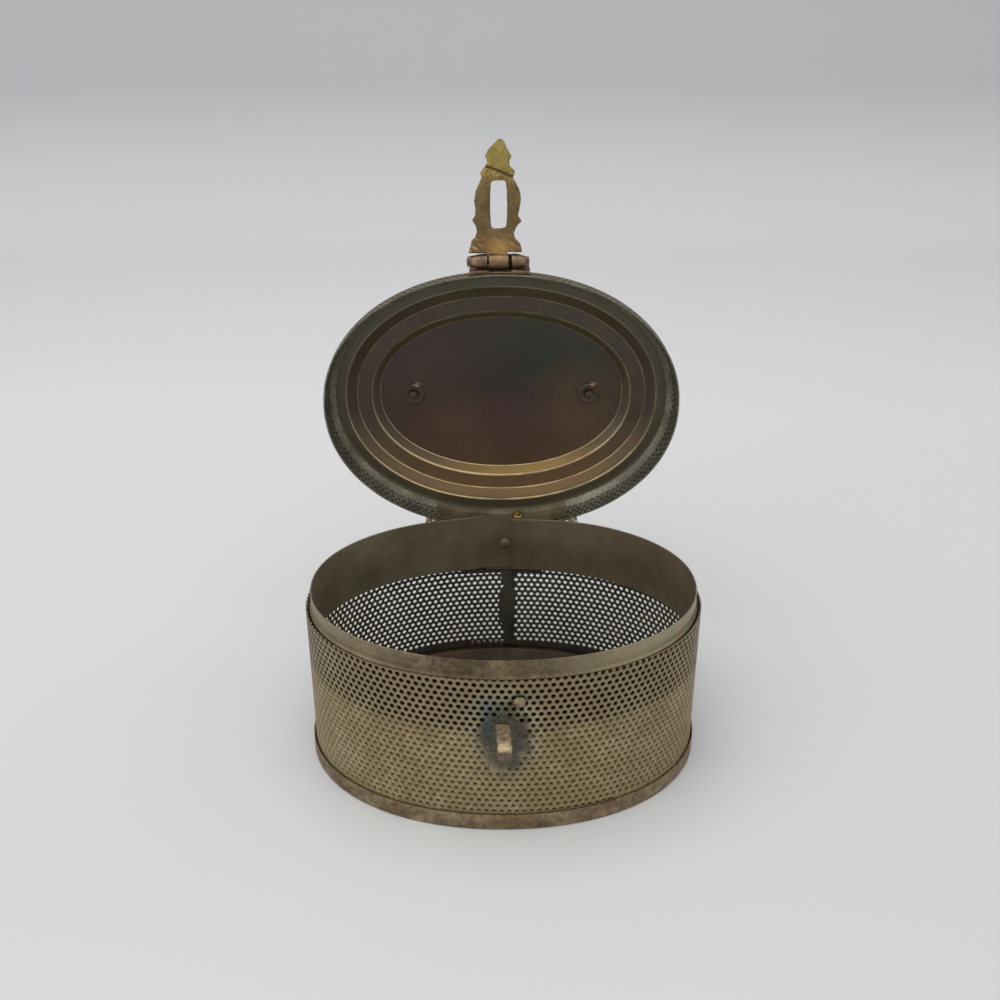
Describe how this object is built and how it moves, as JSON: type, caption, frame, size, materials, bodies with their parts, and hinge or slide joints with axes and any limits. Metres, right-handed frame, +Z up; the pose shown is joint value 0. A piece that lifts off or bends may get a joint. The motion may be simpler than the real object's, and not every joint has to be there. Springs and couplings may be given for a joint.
{
  "type": "trinket_box",
  "caption": "Oval brass trinket box with pierced sheet walls, a stepped hinged lid, a hasp that drops over a staple and a swinging bail handle",
  "frame": {"origin": "middle of the underside of the floor panel, on the surface the box stands on", "axes": "+Z up, +X to the viewer's right when facing the staple, +Y from the front to the hinge"},
  "size_m": [0.1124, 0.1233, 0.164],
  "materials": {
    "base_tray": "dull brown brass, stamped and rubbed bright on its edges",
    "perforated_wall": "khaki brass pierced sheet, matt and spotted with tarnish",
    "wall_seam_strip": "dark tarnished pierced sheet",
    "inner_collar": "dull grey brown brass with green and coppery patches",
    "front_rivet": "pale worn brass",
    "back_rivet": "pale worn brass",
    "staple_post": "rubbed coppery brass",
    "staple_solder": "grey green soft solder, matt and lumpy",
    "lower_hinge_leaf": "dull grey brown brass",
    "hinge_pin": "pale drawn brass wire",
    "lid_skirt": "dark tarnished pierced sheet",
    "hinge_backing_plate": "brown brass sheet",
    "upper_hinge_leaf": "dark tarnished pierced sheet",
    "upper_hinge_rivet": "pale worn brass",
    "lid_top_plate": "dark brown brass with purple and blue heat colours and golden steps",
    "handle_ear_left": "cast yellow brass",
    "handle_ear_right": "cast yellow brass",
    "handle_washer_left": "brown brass",
    "handle_washer_right": "brown brass",
    "hasp_bracket": "worn brown cast brass",
    "hasp_pin": "pale drawn brass wire",
    "hasp": "cast yellow brass, worn brown at the neck and base",
    "bail_handle": "cast yellow brass"
  },
  "bodies": {
    "box": {"base_tray": "base_tray", "perforated_wall": "perforated_wall", "wall_seam_strip": "wall_seam_strip", "inner_collar": "inner_collar", "front_rivet": "front_rivet", "back_rivet": "back_rivet", "staple_post": "staple_post", "staple_solder": "staple_solder", "lower_hinge_leaf": "lower_hinge_leaf", "hinge_pin": "hinge_pin"},
    "lid": {"lid_skirt": "lid_skirt", "hinge_backing_plate": "hinge_backing_plate", "upper_hinge_leaf": "upper_hinge_leaf", "upper_hinge_rivet": "upper_hinge_rivet", "lid_top_plate": "lid_top_plate", "handle_ear_left": "handle_ear_left", "handle_ear_right": "handle_ear_right", "handle_washer_left": "handle_washer_left", "handle_washer_right": "handle_washer_right", "hasp_bracket": "hasp_bracket", "hasp_pin": "hasp_pin"},
    "hasp": {"hasp": "hasp"},
    "handle": {"bail_handle": "bail_handle"}
  },
  "joints": [
    {"name": "lid_hinge", "type": "hinge", "parent": "box", "child": "lid", "pos_m": [0, 0.0445, 0.0396], "axis": [1, 0, 0], "range_deg": [0, 90]},
    {"name": "hasp_hinge", "type": "hinge", "parent": "lid", "child": "hasp", "pos_m": [-0.0006, 0.0568, 0.1288], "axis": [1, 0, 0], "range_deg": [0, 90]},
    {"name": "handle_swing", "type": "hinge", "parent": "lid", "child": "handle", "pos_m": [0, 0.0692, 0.0841], "axis": [1, 0, 0], "range_deg": [-4, 176]}
  ]
}
